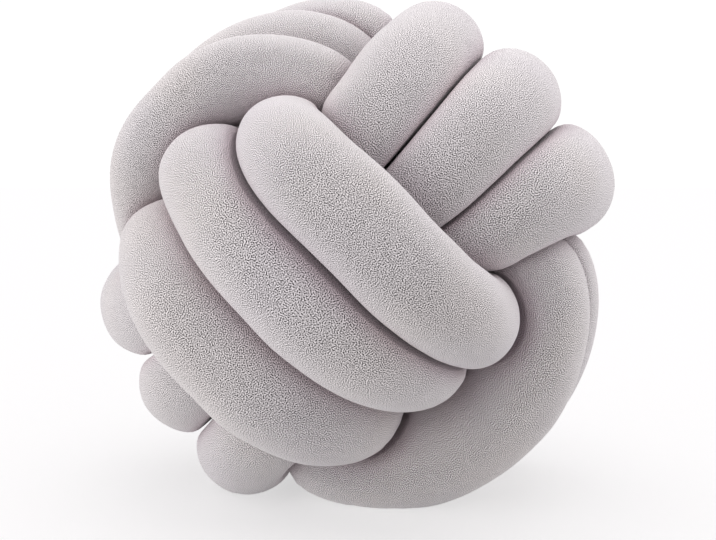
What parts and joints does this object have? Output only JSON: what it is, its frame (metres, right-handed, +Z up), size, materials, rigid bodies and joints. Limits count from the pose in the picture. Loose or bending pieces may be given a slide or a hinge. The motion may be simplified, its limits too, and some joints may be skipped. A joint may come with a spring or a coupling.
{
  "type": "knot cushion",
  "caption": "Ball-shaped knot cushion: one long stuffed plush tube wound into an interlaced ball, with a flattened underside to rest on.",
  "frame": {"origin": "on the surface that the cushion rests on, below the middle of its outline", "axes": "+Z up, -Y towards the front face with its three slanting passes, +X to the right seen from the front"},
  "size_m": [0.2812, 0.3012, 0.2739],
  "materials": {
    "plush": "light grey short-pile plush, matte with a soft sheen at the edges"
  },
  "bodies": {
    "root": {"knot_tube": "plush"}
  },
  "joints": []
}
